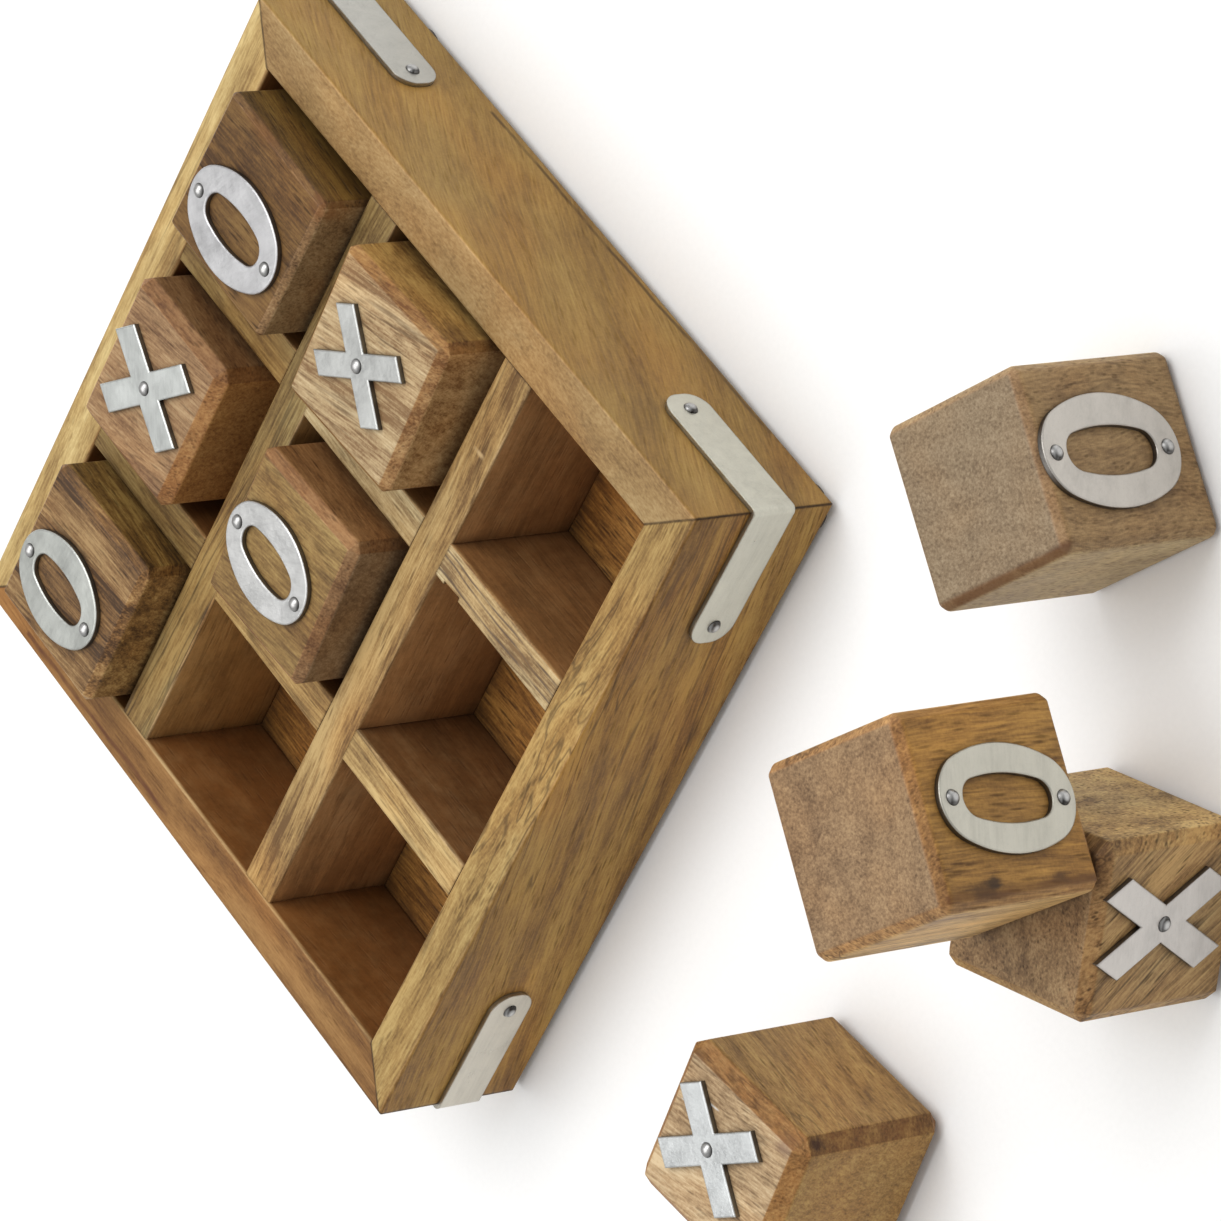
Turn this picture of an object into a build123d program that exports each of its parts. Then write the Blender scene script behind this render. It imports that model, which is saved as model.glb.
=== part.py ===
from build123d import *
from math import cos, sin, radians, sqrt
import os

# ---------------------------------------------------------------------------
# Wooden noughts-and-crosses set: a nine-cell tray of mitred rails with
# dividers, metal corner straps, and nine loose blocks that each carry a
# riveted metal O or X.
# Millimetres, +Z up. Origin: middle of the whole laid-out set, on the surface
# it stands on. +X points to the right rail, +Y to the back rail.
# ---------------------------------------------------------------------------

# Centre of the tray, seen from the middle of the set; every other position
# below is given from the centre of the tray.
tray_at = (-36.0, 59.8)

# Tray frame
tray_side = 150.0          # outside of the square frame
rail_width = 10.0          # rail thickness, seen from above
rail_height = 34.0         # rail height
foot_height = 1.5          # felt feet lift the frame off the table
rebate_depth = 4.0         # step on the inner lower edge that holds the floor
rebate_height = 4.7
edge_round = 0.7           # eased long edges of the rails
panel_clearance = 0.2      # floor panel to rebate wall, per side
panel_thickness = 4.5

# Dividers: (centre, thickness); the two long ones run the whole way along X
long_divider_y = {"front": (-23.0, 8.6), "back": (23.5, 8.6)}
# the six short ones are butted between them, row by row, a little out of line
short_divider_x = {
    "front_right": (23.3, 7.6), "front_left": (-23.3, 7.6),
    "middle_right": (22.4, 7.6), "middle_left": (-23.9, 8.2),
    "back_right": (22.9, 8.4), "back_left": (-24.2, 8.0),
}
divider_drop = 0.2         # divider tops sit just under the rail tops
divider_ease = 0.35
chip_on = "front_right"
chip_length, chip_depth, chip_from_end = 5.0, 0.75, 5.2

# Corner straps: (arm length, height of the strap's centre line over the frame's underside)
strap_width = 10.0
strap_thickness = 1.0
strap_bend = 1.3           # outside radius of the bend
strap_end_round = 4.2      # corner radius of the rounded ends
strap_nail_inset = 4.0     # nail from the end of the arm
straps = {
    "front_right": (31.0, 15.6), "back_right": (29.0, 13.8),
    "front_left": (29.0, 14.6), "back_left": (29.0, 14.6),
}

# Nails (round-headed pins)
pin_head_d = 2.9
pin_head_h = 0.9
pin_shank_d = 1.5
pin_length = 7.0
pin_hole_d = 1.56

# Felt feet
foot_d = 9.0
feet_xy = [(69.3, -69.4), (69.4, 63.0), (-67.5, -68.0), (-68.0, 68.0)]

# Letter plates
plate_thickness = 1.2
plate_edge = 0.2
o_small = dict(half_length=13.5, half_width=9.4, end_radius=7.6,
               hole_half_length=8.7, hole_half_width=3.6, hole_end_radius=2.9, pin_offset=11.0)
o_large = dict(half_length=15.5, half_width=10.1, end_radius=8.3,
               hole_half_length=10.3, hole_half_width=4.1, hole_end_radius=3.3, pin_offset=12.7)
x_small = dict(stroke_length=25.0, stroke_width=5.5, half_angle=37.0)
x_large = dict(stroke_length=28.0, stroke_width=6.2, half_angle=35.0)

# Blocks: size along local X and Y and height, corner chamfer, position of the
# base centre, turn about Z in degrees, which face carries the plate ("top" or
# "side" = local +X), plate offset on that face (u, v), plate turn in degrees.
# The plates are cut by hand, so each differs a little from its pattern:
# cut = (length, width, hole length, hole width) of an O as factors, or
# (length, width) of an X as factors and the change of its half angle.
worn_rounding = 0.6        # the chamfers' edges are rubbed round
floor_top = foot_height + rebate_height
lower_block_height = 35.0
blocks = {
    "block_o_centre": dict(size=(34.4, 32.4, 39.2), chamfer=1.9, at=(-0.9, -0.6, floor_top), turn=3.0, face="top",
                           offset=(-0.7, 2.1), plate_turn=-7.0, plate=o_small, cut=(0.99, 1.0, 0.98, 1.07)),
    "block_x_right": dict(size=(34.6, 33.4, 40.0), chamfer=1.8, at=(46.3, 1.2, floor_top), turn=3.0, face="top",
                           offset=(0.1, 0.75), plate_turn=-3.2, plate=x_small, cut=(0.95, 0.89, 0.0)),
    "block_o_back_right": dict(size=(33.2, 33.8, 39.0), chamfer=1.2, at=(46.6, 45.6, floor_top), turn=-1.4, face="top",
                           offset=(-3.8, 0.0), plate_turn=2.2, plate=o_small, cut=(1.075, 1.09, 1.04, 1.15)),
    "block_x_back": dict(size=(34.6, 31.4, 38.4), chamfer=2.3, at=(-0.3, 48.9, floor_top), turn=0.0, face="top",
                           offset=(0.75, 0.4), plate_turn=11.2, plate=x_small, cut=(1.035, 1.06, 0.7)),
    "block_o_back_left": dict(size=(34.6, 33.6, 39.2), chamfer=1.6, at=(-46.0, 45.5, floor_top), turn=0.0, face="top",
                           offset=(-3.0, 1.4), plate_turn=-3.0, plate=o_small, cut=(1.0, 1.045, 0.995, 1.1)),
    "block_x_table": dict(size=(33.0, 34.2, 35.8), chamfer=2.7, at=(-14.5, -147.5, 0.0), turn=7.6, face="top",
                           offset=(1.3, 2.3), plate_turn=0.0, plate=x_small, cut=(1.0, 1.03, 3.0)),
    "block_x_lower": dict(size=(34.6, 32.4, lower_block_height), chamfer=2.2, at=(75.4, -174.9, 0.0), turn=-64.8, face="side",
                           offset=(0.8, 19.4), plate_turn=-0.8, plate=x_large, cut=(1.02, 0.93, -4.0)),
    "block_o_upper": dict(size=(34.6, 34.8, 37.4), chamfer=1.8, rounding=1.3, at=(86.1, -163.7, lower_block_height), turn=-31.5,
                           face="side", offset=(0.0, 17.9), plate_turn=-6.5, plate=o_large, cut=(0.99, 0.95, 0.98, 1.05)),
    "block_o_table": dict(size=(34.0, 33.6, 38.4), chamfer=1.6, rounding=1.4, at=(126.9, -126.4, 0.0), turn=-30.0, face="side",
                           offset=(-0.3, 22.0), plate_turn=-2.3, plate=o_large, cut=(1.04, 1.015, 1.025, 1.08)),
}

os.makedirs("parts", exist_ok=True)


def write(shapes, name):
    """One node: one solid, or a list of like solids."""
    if isinstance(shapes, list):
        shapes = Compound(children=[(Pos(*tray_at) * s).solid() for s in shapes])
    else:
        shapes = Pos(*tray_at) * shapes
    export_step(shapes, f"parts/{name}.step")


def prism(points, height):
    """Upright prism over a closed polygon in XY, from z = 0."""
    wire = Polyline(*[(x, y, 0) for x, y in points], close=True)
    return extrude(make_face(wire), amount=height)


# ---------------------------------------------------------------- frame rails
half = tray_side / 2
frame_bottom = foot_height
frame_top = foot_height + rail_height


def rail_bar():
    """The front rail before its neighbours: profile in YZ, run along X, mitred."""
    y0, y1 = -half, -half + rail_width
    z0, z1 = frame_bottom, frame_top
    outline = [
        (y0, z0), (y1 - rebate_depth, z0), (y1 - rebate_depth, z0 + rebate_height),
        (y1, z0 + rebate_height), (y1, z1), (y0, z1),
    ]
    wire = Polyline(*[(0, y, z) for y, z in outline], close=True)
    bar = extrude(make_face(wire), amount=half, dir=(1, 0, 0), both=True)
    long_edges = bar.edges().filter_by(Axis.X)
    eased = [
        e for e in long_edges
        if (abs(e.center().Y - y0) < 0.01)
        or (abs(e.center().Z - z1) < 0.01 and abs(e.center().Y - y1) < 0.01)
    ]
    bar = fillet(eased, edge_round)
    # 45 degree mitres: keep the triangle whose tip is the tray's centre
    wedge = prism([(-half - 1, -half - 1), (half + 1, -half - 1), (0, 0)], frame_top + 2)
    return bar & wedge


front_rail = rail_bar()
turns = {"front": 0, "right": 90, "back": 180, "left": 270}
rails = {side: Rot(0, 0, angle) * front_rail for side, angle in turns.items()}

# ------------------------------------------------------------- corner straps
corner_turn = {"front_right": 0, "back_right": 90, "back_left": 180, "front_left": 270}


def strap_shape(arm, centre_z):
    """Strap round the front right corner: arms run to -X and to +Y."""
    c = half
    t = strap_thickness
    outline = [(c - arm, -c), (c, -c), (c, -c + arm), (c + t, -c + arm), (c + t, -c - t), (c - arm, -c - t)]
    body = prism(outline, strap_width)
    bend = [e for e in body.edges().filter_by(Axis.Z)
            if abs(e.center().X - (c + t)) < 0.01 and abs(e.center().Y + c + t) < 0.01]
    body = fillet(bend, strap_bend)
    ends = [e for e in body.edges()
            if (abs(e.center().X - (c - arm)) < 0.01 and e.length < t + 0.01 and abs(e.length - t) < 0.01)
            or (abs(e.center().Y - (-c + arm)) < 0.01 and abs(e.length - t) < 0.01)]
    body = fillet(ends, strap_end_round)
    mid = strap_width / 2
    n = arm - strap_nail_inset
    hole_a = Pos(c - n, -c, mid) * Rot(90, 0, 0) * Cylinder(pin_hole_d / 2, 8)
    hole_b = Pos(c, -c + n, mid) * Rot(0, 90, 0) * Cylinder(pin_hole_d / 2, 8)
    body = body - hole_a - hole_b
    return Pos(0, 0, frame_bottom + centre_z - mid) * body


def pin_solid():
    """Round-headed pin: head's flat side on z = 0, shank down to -pin_length."""
    r, h = pin_head_d / 2, pin_head_h
    s = pin_shank_d / 2
    ball = (r * r + h * h) / (2 * h)
    a = radians(50)
    # point on the dome between its rim and its top
    rim = sqrt(max(ball * ball - (ball - h) ** 2, 0))
    mid_r = rim * 0.62
    mid_z = h - ball + sqrt(ball * ball - mid_r * mid_r)
    profile = Polyline((0, 0, -pin_length), (s * 0.15, 0, -pin_length), (s, 0, -pin_length + 1.4),
                       (s, 0, 0), (r, 0, 0))
    dome = ThreePointArc((r, 0, 0), (mid_r, 0, mid_z), (0, 0, h))
    close = Line((0, 0, h), (0, 0, -pin_length))
    return revolve(make_face(profile + dome + close), Axis.Z)


pin = pin_solid()

strap_pins = []
rail_holes = {side: [] for side in rails}
for corner, (arm, centre_z) in straps.items():
    angle = corner_turn[corner]
    write(Rot(0, 0, angle) * strap_shape(arm, centre_z), "corner_strap_" + corner)
    z = frame_bottom + centre_z
    n = arm - strap_nail_inset
    order = ["front", "right", "back", "left"]
    first = order[angle // 90]
    second = order[(angle // 90 + 1) % 4]
    # arm on the first rail (outward normal -Y before turning), then on the second (+X)
    on_first = Rot(0, 0, angle) * Pos(half - n, -half - strap_thickness, z) * Rot(90, 0, 0)
    on_second = Rot(0, 0, angle) * Pos(half + strap_thickness, -half + n, z) * Rot(0, 90, 0)
    strap_pins += [on_first * pin, on_second * pin]
    hole = Pos(0, 0, -pin_length / 2) * Cylinder(pin_hole_d / 2, pin_length + 0.2)
    rail_holes[first].append(on_first * hole)
    rail_holes[second].append(on_second * hole)

write(strap_pins, "strap_pins")
for side, rail in rails.items():
    for hole in rail_holes[side]:
        rail = rail - hole
    write(rail, "rail_" + side)

# ------------------------------------------------------------------ the floor
panel_side = tray_side - 2 * rail_width + 2 * (rebate_depth - panel_clearance)
panel = Pos(0, 0, floor_top - panel_thickness / 2) * Box(panel_side, panel_side, panel_thickness)
write(panel, "floor_panel")

# ------------------------------------------------------------------- dividers
inner = half - rail_width
divider_top = frame_top - divider_drop


def divider(x0, x1, y0, y1, run):
    solid = Pos((x0 + x1) / 2, (y0 + y1) / 2, (floor_top + divider_top) / 2) * Box(
        x1 - x0, y1 - y0, divider_top - floor_top)
    top_edges = [e for e in solid.edges().filter_by(run) if abs(e.center().Z - divider_top) < 0.01]
    return fillet(top_edges, divider_ease)


for place, (y, t) in long_divider_y.items():
    write(divider(-inner, inner, y - t / 2, y + t / 2, Axis.X), "long_divider_" + place)

yf, tf = long_divider_y["front"]
yb, tb = long_divider_y["back"]
row_span = {"front": (-inner, yf - tf / 2), "middle": (yf + tf / 2, yb - tb / 2), "back": (yb + tb / 2, inner)}
for place, (x, t) in short_divider_x.items():
    y0, y1 = row_span[place.split("_")[0]]
    solid = divider(x - t / 2, x + t / 2, y0, y1, Axis.Y)
    if place == chip_on:
        # a splinter is missing from the upper left edge, next to the long divider
        solid -= Pos(x - t / 2, y1 - chip_from_end, divider_top) * Rot(0, 45, 3) * Box(
            chip_depth * 2, chip_length, chip_depth * 2)
    write(solid, "short_divider_" + place)

# ----------------------------------------------------------------------- feet
feet = [Pos(x, y, foot_height / 2) * Cylinder(foot_d / 2, foot_height) for x, y in feet_xy]
write(feet, "felt_feet")


# -------------------------------------------------------------- letter plates
def oval(a, b, r):
    """Four-arc oval, half length a along Y, half width b along X, end radius r."""
    big = ((a - r) ** 2 + b * b - r * r) / (2 * (b - r))
    # tangent point of the end arc (centre (0, a - r)) and the side arc (centre (b - big, 0))
    dx, dy = 0 - (b - big), (a - r)
    d = sqrt(dx * dx + dy * dy)
    tx, ty = dx / d * r, (a - r) + dy / d * r
    arcs = [
        ThreePointArc((b, 0, 0), _on(b - big, 0, big, tx, ty, b), (tx, ty, 0)),
        ThreePointArc((tx, ty, 0), (0, a, 0), (-tx, ty, 0)),
        ThreePointArc((-tx, ty, 0), (-b, 0, 0), (-tx, -ty, 0)),
        ThreePointArc((-tx, -ty, 0), (0, -a, 0), (tx, -ty, 0)),
        ThreePointArc((tx, -ty, 0), _on(b - big, 0, big, tx, -ty, b), (b, 0, 0)),
    ]
    wire = arcs[0]
    for arc in arcs[1:]:
        wire = wire + arc
    return make_face(wire)


def _on(cx, cy, radius, tx, ty, b):
    """Point half way along the side arc between (b, 0) and (tx, ty)."""
    mx, my = (b + tx) / 2 - cx, ty / 2 - cy
    m = sqrt(mx * mx + my * my)
    return (cx + mx / m * radius, cy + my / m * radius, 0)


def o_plate(p, cut):
    length, width, hole_length, hole_width = cut
    ring = oval(p["half_length"] * length, p["half_width"] * width, p["end_radius"] * width) - oval(
        p["hole_half_length"] * hole_length, p["hole_half_width"] * hole_width, p["hole_end_radius"] * hole_width)
    pin_at = p["pin_offset"] * length
    solid = extrude(ring, amount=plate_thickness)
    top = solid.faces().sort_by(Axis.Z)[-1]
    solid = chamfer(top.edges(), plate_edge)
    for s in (-1, 1):
        solid = solid - Pos(0, s * pin_at, 0) * Cylinder(pin_hole_d / 2, 4)
    return solid, [(0, pin_at), (0, -pin_at)]


def x_plate(p, cut):
    """Two crossed strokes; each stroke's ends are cut along the other stroke."""
    length, width, opened = cut
    a = radians(p["half_angle"] + opened)
    d1 = (sin(a), cos(a))
    d2 = (-sin(a), cos(a))
    cross = abs(d1[0] * d2[1] - d1[1] * d2[0])
    w = p["stroke_width"] * width / cross / 2       # half width measured along the other stroke
    h = p["stroke_length"] * length / 2

    def at(i, j):
        return (d1[0] * i + d2[0] * j, d1[1] * i + d2[1] * j)

    points = [at(h, w), at(w, w), at(w, h), at(-w, h), at(-w, w), at(-h, w),
              at(-h, -w), at(-w, -w), at(-w, -h), at(w, -h), at(w, -w), at(h, -w)]
    solid = prism(points, plate_thickness)
    top = solid.faces().sort_by(Axis.Z)[-1]
    solid = chamfer(top.edges(), plate_edge)
    solid = solid - Cylinder(pin_hole_d / 2, 4)
    return solid, [(0, 0)]


# --------------------------------------------------------------------- blocks
for name, b in blocks.items():
    sx, sy, sz = b["size"]
    base = Pos(*b["at"]) * Rot(0, 0, b["turn"])
    body = Pos(0, 0, sz / 2) * Box(sx, sy, sz)
    body = chamfer(body.edges(), b["chamfer"])
    body = fillet(body.edges(), b.get("rounding", worn_rounding))
    plate, pins_at = (o_plate if "half_length" in b["plate"] else x_plate)(b["plate"], b["cut"])
    u, v = b["offset"]
    if b["face"] == "top":
        seat = Pos(u, v, sz) * Rot(0, 0, b["plate_turn"])
    else:
        # local +X face: plate's X along local Y, plate's Y up
        seat = Pos(sx / 2, u, v) * Rot(0, 0, 90) * Rot(90, 0, 0) * Rot(0, 0, b["plate_turn"])
    hole = Pos(0, 0, plate_thickness - pin_length / 2) * Cylinder(pin_hole_d / 2, pin_length + 0.2)
    pins = []
    for px, py in pins_at:
        body = body - seat * Pos(px, py, 0) * hole
        pins.append(base * seat * Pos(px, py, plate_thickness) * pin)
    letter = "o" if "half_length" in b["plate"] else "x"
    where = name.split("_", 2)[2]
    write(base * body, name)
    write(base * seat * plate, f"plate_{letter}_{where}")
    write(pins, f"pins_{letter}_{where}")
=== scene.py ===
import math
import random

import bpy
from mathutils import Matrix, Vector


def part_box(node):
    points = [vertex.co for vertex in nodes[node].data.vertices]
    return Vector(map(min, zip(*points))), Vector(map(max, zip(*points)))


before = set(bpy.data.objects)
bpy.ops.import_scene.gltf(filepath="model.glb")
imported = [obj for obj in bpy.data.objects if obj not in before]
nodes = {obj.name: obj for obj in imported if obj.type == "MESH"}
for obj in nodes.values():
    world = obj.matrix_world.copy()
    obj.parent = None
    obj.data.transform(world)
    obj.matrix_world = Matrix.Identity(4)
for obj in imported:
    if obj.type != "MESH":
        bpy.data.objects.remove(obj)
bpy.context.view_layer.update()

scene = bpy.context.scene
scene.view_settings.view_transform = "Standard"
scene.view_settings.look = "None"
scene.view_settings.exposure = 0.0
scene.view_settings.gamma = 1.0


# --------------------------------------------------------------- node helpers
class Graph:
    """Small helper for writing shader graphs."""

    def __init__(self, name):
        self.mat = bpy.data.materials.new(name)
        self.mat.use_nodes = True
        self.tree = self.mat.node_tree
        for n in list(self.tree.nodes):
            self.tree.nodes.remove(n)
        self.out = self.tree.nodes.new("ShaderNodeOutputMaterial")
        self.bsdf = self.tree.nodes.new("ShaderNodeBsdfPrincipled")
        self.tree.links.new(self.bsdf.outputs[0], self.out.inputs[0])

    def put(self, socket, value):
        if isinstance(value, bpy.types.NodeSocket):
            self.tree.links.new(value, socket)
        elif value is not None:
            socket.default_value = value

    def node(self, kind, **settings):
        n = self.tree.nodes.new(kind)
        for k, v in settings.items():
            setattr(n, k, v)
        return n

    def math(self, op, a, b=None, c=None, clamp=False):
        n = self.node("ShaderNodeMath", operation=op, use_clamp=clamp)
        self.put(n.inputs[0], a)
        if b is not None:
            self.put(n.inputs[1], b)
        if c is not None:
            self.put(n.inputs[2], c)
        return n.outputs[0]

    def vmath(self, op, a, b=None, scale=None):
        n = self.node("ShaderNodeVectorMath", operation=op)
        self.put(n.inputs[0], a)
        if b is not None:
            self.put(n.inputs[1], b)
        if scale is not None:
            self.put(n.inputs[3], scale)
        return n.outputs["Value"] if op in ("DOT_PRODUCT", "LENGTH") else n.outputs[0]

    def coords(self):
        if not hasattr(self, "_co"):
            self._co = self.node("ShaderNodeTexCoord").outputs["Object"]
        return self._co

    def place(self, vec, loc=(0, 0, 0), rot=(0, 0, 0), scale=(1, 1, 1)):
        """Moves by -loc, turns, then scales."""
        moved = self.vmath("SUBTRACT", vec, tuple(loc))
        n = self.node("ShaderNodeMapping", vector_type="POINT")
        self.put(n.inputs["Vector"], moved)
        n.inputs["Rotation"].default_value = rot
        turned = n.outputs[0]
        return self.vmath("MULTIPLY", turned, tuple(scale))

    def noise(self, vec, scale, detail=3.0, rough=0.5, distortion=0.0, lac=2.0):
        n = self.node("ShaderNodeTexNoise", noise_dimensions="3D")
        self.put(n.inputs["Vector"], vec)
        n.inputs["Scale"].default_value = scale
        n.inputs["Detail"].default_value = detail
        n.inputs["Roughness"].default_value = rough
        n.inputs["Lacunarity"].default_value = lac
        n.inputs["Distortion"].default_value = distortion
        return n.outputs["Fac"]

    def voronoi(self, vec, scale, feature="F1", randomness=1.0):
        n = self.node("ShaderNodeTexVoronoi", voronoi_dimensions="3D", feature=feature)
        self.put(n.inputs["Vector"], vec)
        n.inputs["Scale"].default_value = scale
        n.inputs["Randomness"].default_value = randomness
        return n.outputs["Distance"]

    def ramp(self, fac, stops, mode="LINEAR"):
        """stops: (position, grey) or (position, (r, g, b))."""
        n = self.node("ShaderNodeValToRGB")
        cr = n.color_ramp
        cr.interpolation = mode
        while len(cr.elements) < len(stops):
            cr.elements.new(0.5)
        for e, (p, c) in zip(cr.elements, stops):
            e.position = p
            e.color = (c, c, c, 1) if isinstance(c, (int, float)) else (*c, 1)
        self.put(n.inputs[0], fac)
        return n.outputs[0]

    def mix(self, fac, a, b, mode="MIX"):
        n = self.node("ShaderNodeMix", data_type="RGBA", blend_type=mode)
        self.put(n.inputs[0], fac)
        for s, v in ((n.inputs[6], a), (n.inputs[7], b)):
            if isinstance(v, tuple):
                v = (*v, 1) if len(v) == 3 else v
            self.put(s, v)
        return n.outputs[2]

    def bump(self, height, strength, distance, normal=None):
        n = self.node("ShaderNodeBump")
        n.inputs["Strength"].default_value = strength
        n.inputs["Distance"].default_value = distance
        self.put(n.inputs["Height"], height)
        if normal is not None:
            self.put(n.inputs["Normal"], normal)
        return n.outputs[0]

    def worn_edge(self, radius):
        """1 on the piece's edges, 0 on its flats, and the rounded normal."""
        b = self.node("ShaderNodeBevel", samples=6)
        b.inputs["Radius"].default_value = radius
        g = self.node("ShaderNodeNewGeometry").outputs["Normal"]
        d = self.vmath("DOT_PRODUCT", b.outputs[0], g)
        return self.math("SUBTRACT", 1.0, d, clamp=True), b.outputs[0]

    def crevice(self, distance, samples=8):
        n = self.node("ShaderNodeAmbientOcclusion", samples=samples)
        n.inputs["Distance"].default_value = distance
        return n.outputs["AO"]


def lin(r, g, b):
    """sRGB 0..255 to linear."""
    f = lambda c: c / 12.92 if c <= 0.04045 else ((c + 0.055) / 1.055) ** 2.4
    return (f(r / 255), f(g / 255), f(b / 255))


# ----------------------------------------------------------------------- wood
TX, TY = -0.0360, 0.0598            # the tray's centre
# near-black brown: the colour of the dark mitre joints, and of painted shade in the cells and crevices
DARK_JOINT_AND_SHADE = (0.035, 0.018, 0.009)


# Factor for each face: how much lighter or deeper it is than the wood's own tone. The factors hold the wood's own tone
# together with painted light and shade: faces turned from the light, the insides of the cells and faces in shadow are
# made darker, and lit faces lighter.
# top: upper face; out: a rail's outer face; in: the insides of the cells;
# lx, ly: a block's upright faces, in pairs.
CAL = {
    "block_o_back_left": {"top": (0.626, 0.594, 0.502), "lx": (0.585, 0.567, 0.314), "ly": (0.851, 0.825, 0.588)},
    "block_o_back_right": {"top": (0.523, 0.455, 0.273), "lx": (0.41, 0.377, 0.15), "ly": (0.974, 1.087, 1.12)},
    "block_o_centre": {"top": (0.7, 0.775, 0.576), "lx": (0.719, 0.637, 0.52), "ly": (0.607, 0.678, 0.754)},
    "block_o_table": {"top": (0.726, 0.795, 0.827), "lx": (0.791, 0.741, 0.557), "ly": (1.283, 1.439, 1.284)},
    "block_o_upper": {"top": (0.697, 0.797, 0.932), "lx": (0.811, 0.756, 0.398)},
    "block_x_back": {"top": (0.783, 0.865, 0.973), "lx": (0.508, 0.464, 0.41), "ly": (0.897, 0.799, 0.557)},
    "block_x_lower": {"lx": (0.956, 0.981, 0.862), "top": (0.905, 0.97, 1.042)},
    "block_x_right": {"top": (0.971, 1.076, 1.216), "lx": (0.67, 0.602, 0.342), "ly": (0.942, 0.886, 0.789)},
    "block_x_table": {"top": (1.149, 1.461, 1.962), "lx": (0.777, 0.812, 0.596), "ly": (0.804, 0.834, 0.579)},
    "corner_strap_back_right": {"all": (0.662, 0.651, 0.604)},
    "corner_strap_front_left": {"all": (0.808, 0.759, 0.658)},
    "corner_strap_front_right": {"all": (0.813, 0.802, 0.698)},
    "floor_panel": {"top": (1.595, 1.613, 1.051)},
    "long_divider_back": {"top": (0.512, 0.527, 0.412), "in": (1.013, 0.881, 0.666)},
    "long_divider_front": {"top": (0.778, 0.752, 0.618), "in": (1.037, 0.854, 0.759)},
    "plate_o_back_left": {"all": (0.89, 0.917, 0.872)},
    "plate_o_back_right": {"all": (0.962, 0.961, 0.982)},
    "plate_o_centre": {"all": (1.001, 1.006, 1.001)},
    "plate_o_table": {"all": (0.728, 0.687, 0.634)},
    "plate_o_upper": {"all": (0.737, 0.714, 0.624)},
    "plate_x_back": {"all": (0.996, 1.032, 1.009)},
    "plate_x_lower": {"all": (0.795, 0.759, 0.727)},
    "plate_x_right": {"all": (0.888, 0.904, 0.886)},
    "plate_x_table": {"all": (0.958, 0.989, 0.997)},
    "rail_back": {"top": (1.112, 1.271, 1.231)},
    "rail_front": {"top": (0.78, 0.802, 0.636), "out": (0.746, 0.659, 0.338)},
    "rail_left": {"top": (0.588, 0.463, 0.323), "in": (0.553, 0.369, 0.239)},
    "rail_right": {"top": (0.741, 0.758, 0.741), "out": (0.677, 0.638, 0.381)},
    "short_divider_front_left": {"top": (0.9, 0.914, 0.781), "in": (0.457, 0.324, 0.239)},
    "short_divider_front_right": {"top": (0.955, 1.151, 1.393), "in": (0.704, 0.552, 0.447)},
}
SAME = {"rail_left": {"out": "rail_right"},
        "rail_front": {"in": "rail_left"}, "rail_right": {"in": "rail_left"},
        "short_divider_middle_left": {"top": "short_divider_front_left", "in": "short_divider_front_left"},
        "short_divider_middle_right": {"top": "short_divider_front_right", "in": "short_divider_front_right"},
        "short_divider_back_left": {"top": "long_divider_back", "in": "short_divider_front_left"},
        "short_divider_back_right": {"top": "long_divider_back", "in": "short_divider_front_right"},
        "block_x_lower": {"ly": "block_o_table"}, "block_o_upper": {"ly": "block_o_table"},
        "rail_back": {"in": "rail_left", "out": "rail_front"}}


# looks up a face's factor: the wood's own tone together with painted light and shade
def face_tone_and_shade(node, face, default=(1.0, 1.0, 1.0)):
    own = CAL.get(node, {}).get(face)
    if own is None:
        own = CAL.get(SAME.get(node, {}).get(face), {}).get(face)
    return own or default


R = math.radians


def face(angle):
    """Unit direction in the table's plane, degrees from +X."""
    return (math.cos(R(angle)), math.sin(R(angle)), 0.0)


def turn(direction, roll=0.0):
    """Euler turn that brings the grain direction onto local X."""
    d = Vector(direction).normalized()
    q = d.rotation_difference(Vector((1, 0, 0)))
    return (Matrix.Rotation(roll, 3, "X") @ q.to_matrix()).to_euler("XYZ")[:]


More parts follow.
